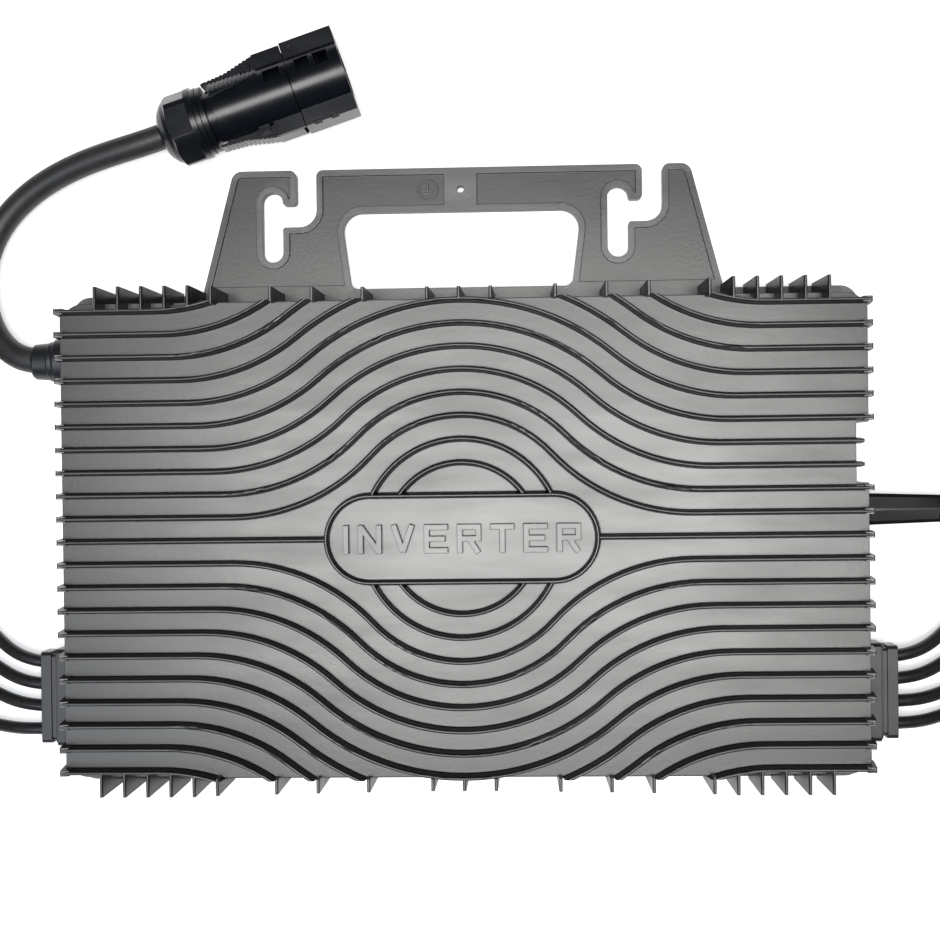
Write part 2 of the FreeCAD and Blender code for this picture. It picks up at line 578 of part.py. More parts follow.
# radio, its can and the way out to the antenna
rx, ry = 132.0, 10.3
radio = box(rx - 19, rx + 19, ry - 12, ry + 12, zt + 3.0, zt + 4.0).fuse(box(rx - 19, rx - 14, ry - 10, ry + 10, zt, zt + 3.0)).removeSplitter()
feature("radio_board", radio)
shield = box_expr("radio_shield_can", "Dims.ShieldWidth", "Dims.ShieldDepth", "Dims.ShieldHeight",
                  repr(rx - 13) + "", "%r - Dims.ShieldDepth/2" % ry, "Dims.BoardLift + Dims.BoardThick + 4")
keep(shield, "radio_shield")
sock = turned([(163.0, 0.01), (163.0, 3.15), (187.6, 3.15), (187.6, 0.01)])
flangep = turned([(180.85, 3.1), (180.85, 4.6), (182.0, 4.6), (182.0, 3.1)])
sock = sock.fuse(flangep).removeSplitter()
ant_at = Placement(Vector(0, D["AntennaY"], D["AntennaZ"]), Rotation())
feature("antenna_socket", sock, ant_at)
nut6 = Part.Face(Part.makePolygon([Vector(0, 5.0 / math.cos(math.pi / 6) * math.cos(k * math.pi / 3), 5.0 / math.cos(math.pi / 6) * math.sin(k * math.pi / 3)) for k in range(7)])).extrude(Vector(2.4, 0, 0))
nut6 = nut6.cut(turned([(-5, 0.01), (-5, 3.2), (10, 3.2), (10, 0.01)]))
feature("antenna_socket_nut", nut6, Placement(Vector(167.2, D["AntennaY"], D["AntennaZ"]), Rotation()))
feature("antenna_coax", tube("antenna_coax", [(151.0, 10.3, 11.9), (154.0, 10.3, 12.1), (157.5, 10.3, 14.8), (160.5, 10.3, 17.2), (162.9, 10.3, 17.5)], 2.0))

# ---------------------------------------------------------------- lead grommets
LEAD_Y = [D["LeadTop"] - D["LeadPitch"] * i for i in range(4)]


def grommet(sx):
    yc = D["LeadTop"] - 1.5 * D["LeadPitch"]
    def blk(x0, x1, hy, hz, r):
        f = Part.Face(Part.Wire([e for e in poly_face([(-hy, -hz, r), (hy, -hz, r), (hy, hz, r), (-hy, hz, r)], 0).Edges]))
        s = f.extrude(Vector(0, 0, x1 - x0))
        s.Placement = Placement(Vector(x0, yc, 16.0), Rotation(Vector(0, 1, 0), Vector(0, 0, 1), Vector(1, 0, 0)))
        return s
    gx, gf = D["GrommetX"], D["GrommetFace"]
    g = fused([blk(170.4, gx + 0.2, 19.4, 5.4, 1.0), blk(gx, gx + 6.2, 22.3, 7.6, 2.2), blk(gx + 6.0, gx + 6.9, 21.2, 6.9, 2.0),
               blk(gx + 6.8, gf - 4.4, 19.8, 5.8, 1.6), blk(gf - 4.6, gf, 21.0, 7.0, 2.0)])
    for y in LEAD_Y:
        g = g.cut(cyl(D["LeadDia"] / 2 + 0.08, 160, y, D["LeadZ"], 40, (1, 0, 0)))
    if sx < 0:
        g = g.mirror(Vector(0, 0, 0), Vector(1, 0, 0))
    return g


feature("dc_grommet_left", grommet(-1))
feature("dc_grommet_right", grommet(1))
for side_name, sx in (("left", -1), ("right", 1)):
    terms = []
    for y in LEAD_Y:
        x0, x1 = sorted((sx * 151.0, sx * 161.8))
        blk = box(x0, x1, y - 4.2, y + 4.2, zt, 21.0)
        blk = blk.cut(cyl(D["LeadDia"] / 2 + 0.03, min(sx * 156.0, sx * 175.0), y, D["LeadZ"], 19.0, (1, 0, 0)))
        terms.append(blk)
    feature("dc_terminals_" + side_name, Part.makeCompound(terms))

# ---------------------------------------------------------------- AC gland and cable
gy, gz = D["GlandY"], D["GlandZ"]
gl = fused([turned([(-166.2, 6.3), (-166.2, 7.2), (-181.2, 7.2), (-181.2, 6.3)]),
            turned([(-180.85, 6.3), (-180.85, 10.5), (-186.4, 10.5), (-187.2, 10.2), (-187.6, 9.6), (-187.6, 6.3)]),
            turned([(-187.2, 6.3), (-187.2, 9.1), (-189.6, 9.1), (-190.2, 8.6), (-196.6, 8.1), (-197.6, 7.4), (-197.8, 6.6), (-197.8, 6.3)])])
gl_in = turned([(-187.5, 5.0), (-187.5, 7.2), (-194.5, 7.2), (-194.5, 5.0)])
gl = gl.cut(gl_in)
gpl = Placement(Vector(0, gy, gz), Rotation())
feature("ac_gland_body", gl.Solids[0], gpl)
feature("ac_gland_seal", turned([(-187.7, 5.95), (-187.7, 7.15), (-194.3, 7.15), (-194.3, 5.95)]), gpl)
feature("ac_gland_locknut", turned([(-169.5, 7.25), (-169.5, 8.35), (-166.0, 8.35), (-166.0, 7.25)]), gpl)
act = box(-156.5, -146.0, gy - 13, gy + 3.0, zt, 21.5)
act = act.cut(cyl(6.0, -158.0, gy, gz, 4.5, (1, 0, 0)))
feature("ac_terminal_block", act)

ang = math.radians(D["PlugAngle"])
ux, uy = math.cos(ang), math.sin(ang)
px, py, pz = D["PlugX"], D["PlugY"], D["PlugZ"]
CABLE = [(-154.0, gy, gz), (-178.0, gy + 0.04, gz), (-200.0, gy + 0.35, gz - 0.3), (-210.4, 87.4, 13.6), (-218.4, 96.6, 11.2), (-223.2, 108.6, 8.8),
         (-224.6, 122.6, 7.2), (-221.6, 136.4, 6.6), (-214.6, 149.0, 6.7), (-203.6, 159.8, 8.0), (-190.2, 168.0, 10.2),
         (-175.0, 174.2, 12.8), (-159.6, 178.6, 15.2), (px - 8.0 * ux, py - 8.0 * uy, pz), (px + 16.0 * ux, py + 16.0 * uy, pz)]
feature("ac_cable", tube("ac_cable", CABLE, D["CableDia"]))

# ---------------------------------------------------------------- field connector
plug_at = Placement(Vector(px, py, pz), Rotation(Vector(0, 0, 1), D["PlugAngle"]))


nd = D["NutDia"] / 2
nut = turned([(0.0, 6.15), (0.0, 8.4), (1.2, 11.0), (3.4, 13.6), (5.4, 15.0), (6.4, nd), (18.6, nd), (18.8, 15.6), (D["NutLong"], 15.6), (D["NutLong"], 6.15)])
flats = []
for k in range(6):
    a = k * 60.0
    b = box(5.6, 16.0, -6.8, 6.8, 15.0, 20.0)
    b.rotate(Vector(0, 0, 0), Vector(1, 0, 0), a)
    flats.append(b)
nut = nut.cut(fused(flats)).cut(turned([(4.2, 5.0), (4.2, 12.9), (30, 12.9), (30, 5.0)]))
feature("plug_nut", nut.Solids[0], plug_at)
feature("plug_seal", turned([(4.4, 5.98), (4.4, 9.6), (15.6, 9.6), (15.6, 5.98)]), plug_at)

bd_r = D["BarrelDia"] / 2
be = D["BarrelEnd"]
barrel = turned([(7.0, 9.8), (7.0, 12.8), (21.2, 12.8), (21.2, 15.2), (23.6, 15.2), (23.6, 12.2), (27.4, 12.2), (27.4, bd_r), (be, bd_r), (be, 11.6), (22.0, 11.6), (17.0, 9.8)])
rails = []
for s in (-1, 1):
    y0, y1 = sorted((s * 11.5, s * 19.4))
    r_ = box(50.6, be, y0, y1, -7.0, 7.0)
    # slot in the rail that the latch tongue lies in
    ya, yb = sorted((s * 13.4, s * 21.0))
    r_ = r_.cut(box(40.0, be + 5, ya, yb, -5.4, 5.4))
    rails.append(r_)
lugs = []
for s in (-1, 1):
    for zz in (-7.0, 5.4):
        y0, y1 = sorted((s * 11.6, s * 16.2))
        lugs.append(box(43.4, 48.6, y0, y1, zz, zz + 1.6))
spigot = turned([(be - 1.0, 10.3), (be - 1.0, 11.82), (be + 15.0, 11.82), (be + 15.0, 10.3)])
barrel = fused([barrel] + rails + lugs).cut(turned([(22.0, 0.01), (22.0, 11.6), (be + 1, 11.6), (be + 1, 0.01)])).fuse(spigot).removeSplitter()
for s in (-1, 1):
    ya, yb = sorted((s * 13.0, s * 21.0))
    barrel = barrel.cut(box(24.0, be + 1, ya, yb, -5.4, 5.4))
for s in (-1, 1):
    barrel = barrel.cut(cyl(1.06, 46.0, s * 14.6, -8.0, 16.0))
saddle = [turned([(27.6, 14.2), (27.6, 14.9), (50.9, 14.9), (50.9, 14.2)]).common(prism([(27.0, 5.8, 0), (52.0, 9.6, 0), (52.0, 13.2, 0), (27.0, 12.9, 0)], 2.0, 20.0))]
for k in range(11):
    x = 28.3 + 2.05 * k
    low = 6.4 + (x - 27.0) * 0.15
    saddle.append(turned([(x, 14.2), (x, 15.3), (x + 1.0, 15.3), (x + 1.0, 14.2)]).common(box(x - 1, x + 2, low, 13.0, 2.0, 20.0)))
barrel = fused([barrel] + saddle)
barrel = barrel.cut(box(53.4, 61.4, 3.0, 9.4, 5.0, 20.0))
if len(barrel.Solids) != 1:
    raise RuntimeError("the plug body is not one solid")
feature("plug_body", barrel.Solids[0], plug_at)

# sliding front sleeve that locks the mated pair
cap = turned([(be + 0.4, 11.9), (be + 0.4, 14.6), (D["PlugLong"], 14.6), (D["PlugLong"], 11.9)])
cr = []
for s in (-1, 1):
    y0, y1 = sorted((s * 12.2, s * 19.8))
    r_ = box(be + 0.4, D["PlugLong"], y0, y1, -8.0, 8.0)
    ya, yb = sorted((s * 15.4, s * 22.0))
    if s > 0:
        r_ = r_.cut(cyl(1.1, be + 4.4, 16.0, 7.5, 2.0))
    else:
        ya, yb = -22.0, -18.4
        r_ = r_.cut(box(be + 4.5, be + 8.0, ya, yb, 5.2, 9)).cut(box(be + 12.6, be + 16.0, ya, yb, 5.2, 9))
    cr.append(r_)
cap = fused([cap] + cr).cut(turned([(be, 0.01), (be, 11.9), (100, 11.9), (100, 0.01)]))
cap = cap.cut(box(be + 4.6, be + 11.2, 3.0, 9.6, 5.0, 20.0)).cut(box(be + 13.4, be + 20.0, 3.0, 9.6, 5.0, 20.0))
feature("plug_end_cap", cap.Solids[0], plug_at)

# ribbed press latches, one each side: grip, step up to the rail, tongue
def latch(s):
    pts = [(24.4, 14.2), (44.0, 13.35), (be - 1.2, 13.7), (be - 1.2, 19.5), (51.0, 19.5), (47.0, 18.9), (36.0, 16.2), (26.0, 15.5), (24.4, 15.3)]
    f = Part.Face(Part.makePolygon([Vector(x, y, -5.1) for x, y in pts + [pts[0]]])).extrude(Vector(0, 0, 10.2))
    cuts = []
    for k in range(11):
        x = 27.0 + 2.0 * k
        yy = 15.5 + (x - 26.0) * 0.07 if x < 36 else 16.2 + (x - 36.0) * 0.245
        cuts.append(box(x, x + 0.8, yy - 0.3, 25, -6, 6))
    f = f.cut(fused(cuts)).fuse(cyl(1.0, 46.0, 14.6, -6.8, 13.6)).removeSplitter()
    if s < 0:
        f = f.mirror(Vector(0, 0, 0), Vector(0, 1, 0))
    return f.Solids[0]


feature("plug_latch_upper", latch(1), plug_at)
feature("plug_latch_lower", latch(-1), plug_at)
insert = turned([(44.0, 0.01), (44.0, 11.5), (62.6, 11.5), (62.6, 9.4), (84.0, 9.4), (84.0, 0.01)])
PINS = [(0.0, 4.6), (-4.0, -2.4), (4.0, -2.4)]
for y, z in PINS:
    insert = insert.cut(cyl(2.1, 40.0, y, z, 60, (1, 0, 0)))
feature("plug_insert", insert.Solids[0], plug_at)
feature("plug_contacts", Part.makeCompound([cyl(2.05, 46.0, y, z, 20.0, (1, 0, 0)).fuse(cyl(1.25, 65.9, y, z, 14.0, (1, 0, 0))).removeSplitter() for y, z in PINS]), plug_at)

# ---------------------------------------------------------------- photovoltaic leads
LEADS = {
    "l1": [(-161.0, -57.0, 16.0), (-178.0, -57.03, 16.0), (-196.0, -56.6, 15.9), (-208.5, -53.4, 13.6), (-219.0, -46.3, 9.8), (-230.6, -34.4, 6.2), (-239.0, -18.6, 3.8),
           (-244.6, 1.0, 3.0), (-246.4, 22.0, 3.2), (-246.0, 40.0, 6.4), (-246.0, 52.0, 9.6), (-246.0, 66.0, 9.7)],
    "l2": [(-161.0, -67.0, 16.0), (-178.0, -67.03, 16.0), (-196.0, -66.8, 15.9), (-208.5, -64.6, 13.6), (-220.0, -59.0, 9.6), (-235.0, -49.0, 5.8), (-248.0, -34.4, 3.6),
           (-259.0, -15.6, 3.0), (-266.0, 6.0, 3.0), (-268.6, 26.0, 3.2), (-268.2, 41.0, 6.6), (-268.0, 53.0, 9.6), (-268.0, 66.0, 9.7)],
    "l3": [(-161.0, -77.0, 16.0), (-178.0, -77.03, 16.0), (-196.0, -76.8, 15.9), (-208.5, -75.4, 13.6), (-221.0, -71.2, 9.4), (-238.6, -62.6, 5.6), (-256.0, -49.4, 3.4),
           (-271.0, -31.0, 3.0), (-282.6, -9.0, 3.0), (-289.0, 14.0, 3.0), (-290.6, 30.0, 3.4), (-290.2, 43.0, 6.8), (-290.0, 54.0, 9.6), (-290.0, 66.0, 9.7)],
    "l4": [(-161.0, -87.0, 16.0), (-178.0, -87.03, 16.0), (-196.0, -87.3, 15.9), (-208.5, -87.6, 13.6), (-222.0, -86.2, 9.2), (-241.0, -81.0, 5.4), (-260.6, -71.0, 3.2),
           (-280.0, -54.4, 3.0), (-295.6, -32.0, 3.0), (-306.6, -7.0, 3.0), (-312.0, 16.0, 3.0), (-313.0, 31.0, 3.4), (-312.3, 43.4, 6.8), (-312.0, 54.4, 9.6), (-312.0, 66.0, 9.7)],
    "r1": [(161.0, -57.0, 16.0), (178.0, -57.03, 16.0), (196.0, -56.6, 15.9), (207.5, -54.0, 13.8), (217.6, -47.8, 10.0), (228.6, -36.4, 6.6), (236.0, -21.6, 4.2),
           (240.6, -3.4, 3.0), (241.4, 16.0, 3.2), (241.0, 32.0, 6.6), (241.0, 43.0, 9.6), (241.0, 56.0, 9.7)],
    "r2": [(161.0, -67.0, 16.0), (178.0, -67.03, 16.0), (196.0, -66.8, 15.9), (207.5, -65.2, 13.8), (218.6, -60.4, 9.8), (233.0, -51.0, 6.2), (245.0, -36.8, 3.8),
           (255.0, -18.6, 3.0), (261.6, 2.0, 3.0), (263.6, 19.0, 3.3), (263.2, 33.0, 6.8), (263.0, 44.0, 9.6), (263.0, 56.0, 9.7)],
    "r3": [(161.0, -77.0, 16.0), (178.0, -77.03, 16.0), (196.0, -76.9, 15.9), (207.5, -76.4, 13.8), (219.0, -73.6, 9.8), (235.6, -66.8, 6.0), (252.0, -54.6, 3.6),
           (266.6, -37.0, 3.0), (277.6, -15.0, 3.0), (284.0, 7.0, 3.0), (285.8, 21.0, 3.4), (285.2, 34.0, 7.0), (285.0, 44.4, 9.6), (285.0, 56.0, 9.7)],
    "r4": [(161.0, -87.0, 16.0), (178.0, -87.03, 16.0), (196.0, -87.0, 15.9), (207.5, -86.6, 13.8), (219.6, -84.0, 9.6), (237.6, -77.6, 5.8), (256.6, -67.0, 3.4),
           (275.0, -50.6, 3.0), (290.0, -29.0, 3.0), (301.0, -5.0, 3.0), (306.6, 11.0, 3.0), (308.0, 23.0, 3.6), (307.3, 35.0, 7.0), (307.0, 45.0, 9.6), (307.0, 56.0, 9.7)],
}
con_nuts = {"l": [], "r": []}
con_pins = {"l": [], "r": []}
for key, pts in LEADS.items():
    feature("dc_lead_" + key, tube("dc_lead_" + key, pts, D["LeadDia"]))
    ex, ey, ez = pts[-1]
    # connector laid out along +Y from the nut; local x is the axis
    at = Placement(Vector(ex, ey, ez), Rotation(Vector(0, 0, 1), 90))
    male = key in ("l1", "l3", "r1", "r3")
    nutc = turned([(-8.0, 3.0), (-8.0, 5.6), (-5.6, 8.2), (-2.0, 9.3), (7.4, 9.3), (8.0, 8.8), (8.0, 3.0)])
    cutters = []
    for k in range(12):
        b = box(-5.0, 6.6, -0.7, 0.7, 8.7, 12.0)
        b.rotate(Vector(0, 0, 0), Vector(1, 0, 0), k * 30.0)
        cutters.append(b)
    nutc = nutc.cut(fused(cutters)).cut(turned([(-1.0, 2.0), (-1.0, 6.6), (10, 6.6), (10, 2.0)]))
    nutc.Placement = at
    con_nuts[key[0]].append(nutc)
    if male:
        bodyc = turned([(0.2, 3.2), (0.2, 6.5), (8.2, 6.5), (8.2, 8.2), (10.6, 8.2), (10.6, 7.2), (27.0, 6.9), (27.0, 8.0), (29.4, 8.0), (29.4, 5.2), (52.0, 4.9), (52.0, 2.6), (30.0, 2.6), (8.0, 3.2)])
        wings = [box(27.2, 46.0, -9.0, -7.2, -2.6, 2.6), box(27.2, 46.0, 7.2, 9.0, -2.6, 2.6), box(27.2, 30.4, -9.0, 9.0, -2.6, 2.6)]
        wings = [w.cut(turned([(20, 0.01), (20, 5.0), (60, 5.0), (60, 0.01)])) for w in wings]
        bodyc = fused([bodyc] + wings)
        pin = turned([(9.0, 0.01), (9.0, 2.5), (47.0, 2.5), (47.0, 0.01)])
    else:
        bodyc = turned([(0.2, 3.2), (0.2, 6.5), (8.2, 6.5), (8.2, 8.2), (10.6, 8.2), (10.6, 7.4), (28.0, 7.4), (28.0, 9.0), (46.0, 9.0), (47.0, 8.4), (47.0, 5.6), (28.0, 5.4), (27.0, 2.6), (12.0, 2.6), (8.0, 3.2)])
        for s in (-1, 1):
            y0, y1 = sorted((s * 6.2, s * 12.0))
            bodyc = bodyc.cut(box(32.0, 40.0, y0, y1, -2.9, 2.9))
        pin = turned([(9.0, 0.01), (9.0, 2.5), (26.0, 2.5), (26.0, 1.9), (40.0, 1.9), (40.0, 0.01)])
    bodyc = bodyc.Solids[0]
    feature("dc_connector_" + key, bodyc, at)
    pin.Placement = at
    con_pins[key[0]].append(pin)
for k, word_ in (("l", "left"), ("r", "right")):
    feature("dc_connector_nuts_" + word_, Part.makeCompound(con_nuts[k]))
    feature("dc_contacts_" + word_, Part.makeCompound(con_pins[k]))

# ---------------------------------------------------------------- antenna
def octa(x0, x1, h0, h1, w0, w1, ridged=True):
    """Tapering faceted stick along X: flat sides, bevelled edges, ridged top."""
    def ring(x, hh, ww):
        b = 0.27
        if ridged:
            half = [(ww, 0.14 * hh), (0.78 * ww, 0.22 * hh), (0.08 * ww, hh)]
            low = [(-ww, -hh * (1 - 2 * b)), (-ww * (1 - 2 * b), -hh), (ww * (1 - 2 * b), -hh), (ww, -hh * (1 - 2 * b))]
            vs = [Vector(x, p[0], p[1]) for p in low + half + [(-p[0], p[1]) for p in reversed(half)]]
            return Part.makePolygon(vs + [vs[0]])
        pts = [(-ww, -hh * (1 - 2 * b)), (-ww * (1 - 2 * b), -hh), (ww * (1 - 2 * b), -hh), (ww, -hh * (1 - 2 * b)),
               (ww, hh * (1 - 2 * b)), (ww * (1 - 2 * b), hh), (-ww * (1 - 2 * b), hh), (-ww, hh * (1 - 2 * b))]
        vs = [Vector(x, p[0], p[1]) for p in pts]
        return Part.makePolygon(vs + [vs[0]])
    return Part.makeLoft([ring(x0, h0, w0), ring(x1, h1, w1)], True, True)


hx = D["HingeX"]
root = octa(182.3, 216.0, 6.8, 5.8, 7.2, 6.1)
ears = octa(215.0, 230.0, 5.4, 5.4, 6.0, 6.0, False).common(box(210, hx + 30, -10, 10, -5.4, 5.4))
ears = ears.common(fused([box(210, hx, -10, 10, -10, 10), cyl(5.2, hx, -10, 0, 20, (0, 1, 0))]))
knuckle = fused([root, ears]).cut(box(216.4, 240, -2.9, 2.9, -10, 10)).cut(cyl(1.5, hx, -10, 0, 20, (0, 1, 0)))
knuckle = knuckle.cut(turned([(170.0, 0.01), (170.0, 3.2), (188.0, 3.2), (188.0, 0.01)]))
feature("antenna_knuckle", knuckle.Solids[0], ant_at)
feature("antenna_hinge_pin", cyl(1.48, hx, -5.8, 0, 11.6, (0, 1, 0)), ant_at)
tongue = fused([cyl(5.0, hx, -2.6, 0, 5.2, (0, 1, 0)), box(hx, hx + 8.0, -2.6, 2.6, -4.6, 4.6)]).cut(cyl(1.53, hx, -10, 0, 20, (0, 1, 0)))
mast = octa(hx + 6.2, hx + D["MastLong"], 5.4, 4.4, 6.0, 4.8)
mast_end = octa(hx + D["MastLong"], hx + D["MastLong"] + 2.0, 4.4, 3.2, 4.8, 3.6)
feature("antenna_mast", fused([mast, mast_end, tongue]).Solids[0], ant_at)

# ---------------------------------------------------------------- check and write
doc.recompute()
bad = []
for o in doc.Objects:
    if "Invalid" in o.State or "Error" in o.State:
        bad.append((o.Name, o.State))
for o in nodes:
    s = o.Shape
    if s.isNull() or not s.isValid() or s.Volume <= 0:
        bad.append((o.Label, "shape"))
if bad:
    raise RuntimeError("failed objects: %s" % bad)
labels = [o.Label for o in nodes]
if len(set(labels)) != len(labels) or len(labels) > 60:
    raise RuntimeError("labels: %d" % len(labels))
for o in nodes:
    o.Shape.exportStep("parts/%s.step" % o.Label)
print("wrote", len(nodes), "nodes")
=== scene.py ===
import bpy
import bmesh
import json
import math
from mathutils import Matrix, Vector


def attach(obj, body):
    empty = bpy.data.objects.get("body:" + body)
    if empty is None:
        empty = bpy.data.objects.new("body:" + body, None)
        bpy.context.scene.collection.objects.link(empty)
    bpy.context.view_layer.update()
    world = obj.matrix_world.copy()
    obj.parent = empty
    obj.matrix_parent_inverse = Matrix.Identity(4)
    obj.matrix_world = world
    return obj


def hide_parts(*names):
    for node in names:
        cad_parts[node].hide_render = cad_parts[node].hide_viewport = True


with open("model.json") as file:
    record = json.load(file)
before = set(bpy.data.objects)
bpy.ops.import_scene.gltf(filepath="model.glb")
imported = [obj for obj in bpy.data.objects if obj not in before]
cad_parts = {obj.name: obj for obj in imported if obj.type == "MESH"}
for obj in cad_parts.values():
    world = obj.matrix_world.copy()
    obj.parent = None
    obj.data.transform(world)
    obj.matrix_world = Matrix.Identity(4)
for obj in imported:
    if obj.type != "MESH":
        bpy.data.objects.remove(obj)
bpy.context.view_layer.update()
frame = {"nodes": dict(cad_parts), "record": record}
NODES = frame["nodes"]
scene = bpy.context.scene
scene.view_settings.view_transform = "Standard"

# ------------------------------------------------------------------ camera
cam_data = bpy.data.cameras.new("camera")
cam_data.sensor_width = 36.0
cam_data.lens = 36.0 * 1470.0 / 940.0
cam_data.clip_start = 0.01
cam_data.clip_end = 20.0
camera = bpy.data.objects.new("camera", cam_data)
scene.collection.objects.link(camera)
turn = Vector((0.00992938, -0.03736748, 0.01220369))
rot = Matrix.Rotation(turn.length, 3, turn.normalized()).transposed()
camera.matrix_world = Matrix.Translation((0.0283457, 0.0366146, 0.6884377)) @ rot.to_4x4()
scene.camera = camera


# ------------------------------------------------------------------ materials
class Graph:
    """A small helper for node trees: g.add("ShaderNodeX", **inputs or properties)."""

    def __init__(self, name):
        self.mat = bpy.data.materials.new(name)
        self.mat.use_nodes = True
        self.tree = self.mat.node_tree
        self.tree.nodes.clear()
        self.out = self.tree.nodes.new("ShaderNodeOutputMaterial")
        self.bsdf = self.tree.nodes.new("ShaderNodeBsdfPrincipled")
        self.tree.links.new(self.bsdf.outputs[0], self.out.inputs[0])
        self.coord = self.tree.nodes.new("ShaderNodeTexCoord")

    def link(self, a, b):
        self.tree.links.new(a, b)

    def node(self, kind, **props):
        n = self.tree.nodes.new(kind)
        for k, v in props.items():
            setattr(n, k, v)
        return n

    def noise(self, scale, detail=2.0, rough=0.5, stretch=None, vector=None):
        n = self.node("ShaderNodeTexNoise")
        n.inputs["Scale"].default_value = scale
        n.inputs["Detail"].default_value = detail
        n.inputs["Roughness"].default_value = rough
        src = vector or self.coord.outputs["Object"]
        if stretch:
            m = self.node("ShaderNodeMapping")
            m.inputs["Scale"].default_value = stretch
            self.link(src, m.inputs["Vector"])
            src = m.outputs[0]
        self.link(src, n.inputs["Vector"])
        return n.outputs["Fac"]

    def ramp(self, fac, stops):
        n = self.node("ShaderNodeValToRGB")
        cr = n.color_ramp
        while len(cr.elements) < len(stops):
            cr.elements.new(0.5)
        for e, (p, c) in zip(cr.elements, stops):
            e.position = p
            e.color = (*c, 1.0) if len(c) == 3 else c
        self.link(fac, n.inputs[0])
        return n.outputs[0]

    def span(self, fac, a, b, lo=0.0, hi=1.0):
        n = self.node("ShaderNodeMapRange")
        n.inputs["From Min"].default_value = lo
        n.inputs["From Max"].default_value = hi
        n.inputs["To Min"].default_value = a
        n.inputs["To Max"].default_value = b
        self.link(fac, n.inputs["Value"])
        return n.outputs[0]

    def mix(self, fac, a, b, blend="MIX"):
        n = self.node("ShaderNodeMix", data_type="RGBA", blend_type=blend)
        if hasattr(fac, "links"):
            self.link(fac, n.inputs["Factor"])
        else:
            n.inputs["Factor"].default_value = fac
        for v, key in ((a, 6), (b, 7)):
            if hasattr(v, "links"):
                self.link(v, n.inputs[key])
            else:
                n.inputs[key].default_value = (*v, 1.0)
        return n.outputs[2]

    def bump(self, height, strength, distance, after=None):
        n = self.node("ShaderNodeBump")
        n.inputs["Strength"].default_value = strength
        n.inputs["Distance"].default_value = distance
        self.link(height, n.inputs["Height"])
        if after is not None:
            self.link(after, n.inputs["Normal"])
        return n.outputs[0]

    def bevel(self, radius):
        n = self.node("ShaderNodeBevel")
        n.samples = 4
        n.inputs["Radius"].default_value = radius
        return n.outputs[0]

    def set(self, **values):
        for k, v in values.items():
            sock = self.bsdf.inputs[k.replace("_", " ")]
            if hasattr(v, "links"):
                self.link(v, sock)
            elif isinstance(v, tuple):
                sock.default_value = (*v, 1.0)
            else:
                sock.default_value = v
        return self.mat


def powder(name, base=(0.020, 0.0202, 0.0200), rough=0.31, spec=0.66):
    """Satin powder coat: fine orange peel, faint mottling, painted highlight on edges and crests, painted shade on
    side faces.
    """
    g = Graph(name)
    peel = g.noise(620.0, 3.0, 0.55)
    grain = g.noise(2400.0, 2.0, 0.6)
    broad = g.noise(9.0, 3.0, 0.55)
    streak = g.noise(38.0, 4.0, 0.6, stretch=(0.35, 1.6, 1.0))
    col = g.mix(g.span(broad, 0.0, 1.0, 0.3, 0.7), tuple(c * 0.85 for c in base), tuple(c * 1.2 for c in base))
    col = g.mix(g.span(grain, 0.0, 0.35, 0.45, 0.8), col, tuple(min(1.0, c * 1.8) for c in base))
    # Painted highlight: a pointiness mask, broken up by the streak noise, lightens the colour on edges and fin crests.
    geo = g.node("ShaderNodeNewGeometry")
    edge = g.span(geo.outputs["Pointiness"], 0.0, 1.0, 0.52, 0.60)
    edge_highlight = g.node("ShaderNodeMath", operation="MULTIPLY")
    g.link(edge, edge_highlight.inputs[0])
    g.link(g.span(streak, 0.25, 1.0, 0.35, 0.7), edge_highlight.inputs[1])
    col = g.mix(edge_highlight.outputs[0], col, tuple(min(1.0, c * 2.6 + 0.05) for c in base))
    r = g.span(streak, rough - 0.035, rough + 0.06, 0.3, 0.7)
    nrm = g.bump(peel, 0.16, 0.00016, g.bevel(0.00045))
    nrm = g.bump(grain, 0.10, 0.00005, nrm)
    flat = g.node("ShaderNodeSeparateXYZ")
    g.link(g.coord.outputs["Normal"], flat.inputs[0])
    face = g.node("ShaderNodeMath", operation="ABSOLUTE")
    g.link(flat.outputs[2], face.inputs[0])
    sheen = g.span(face.outputs[0], 0.10 * spec, spec, 0.35, 0.93)
    # Painted shade: faces whose normal points away from Z (fin sides, walls) get a darker base colour, down to 0.42 of
    # the base.
    painted_side_shade = g.mix(g.span(face.outputs[0], 0.0, 1.0, 0.2, 0.8), tuple(c * 0.42 for c in base), col)
    return g.set(Base_Color=painted_side_shade, Roughness=r, Specular_IOR_Level=sheen, Normal=nrm)


def plastic(name, base, rough=0.35, spec=0.5, scale=900.0, strength=0.10, bevel=0.0003, coat=0.0):
    """Moulded polyamide: spark-eroded grain, faint flow marks, softened edges."""
    g = Graph(name)
    grain = g.noise(scale, 3.0, 0.6)
    flow = g.noise(24.0, 3.0, 0.6, stretch=(1.0, 2.2, 0.7))
    col = g.mix(g.span(flow, 0.0, 1.0, 0.3, 0.7), tuple(c * 0.86 for c in base), tuple(min(1.0, c * 1.16) for c in base))
    r = g.span(flow, rough - 0.04, rough + 0.06, 0.3, 0.7)
    nrm = g.bump(grain, strength, 0.00012, g.bevel(bevel))
    return g.set(Base_Color=col, Roughness=r, Specular_IOR_Level=spec, Normal=nrm, Coat_Weight=coat)


def jacket(name, base, rough=0.5):
    """Extruded cable jacket: fine drawn grain, slight dust, gentle waviness."""
    g = Graph(name)
    grain = g.noise(1500.0, 2.0, 0.6)
    wave = g.noise(120.0, 2.0, 0.5)
    dust = g.noise(420.0, 4.0, 0.7)
    col = g.mix(g.span(wave, 0.0, 1.0, 0.3, 0.7), tuple(c * 0.85 for c in base), tuple(c * 1.15 for c in base))
    col = g.mix(g.span(dust, 0.0, 0.35, 0.58, 0.72), col, tuple(min(1.0, c * 2.2 + 0.01) for c in base))
    nrm = g.bump(wave, 0.10, 0.0004)
    nrm = g.bump(grain, 0.10, 0.00006, nrm)
    return g.set(Base_Color=col, Roughness=g.span(dust, rough - 0.05, rough + 0.08, 0.3, 0.7), Specular_IOR_Level=0.45, Normal=nrm)


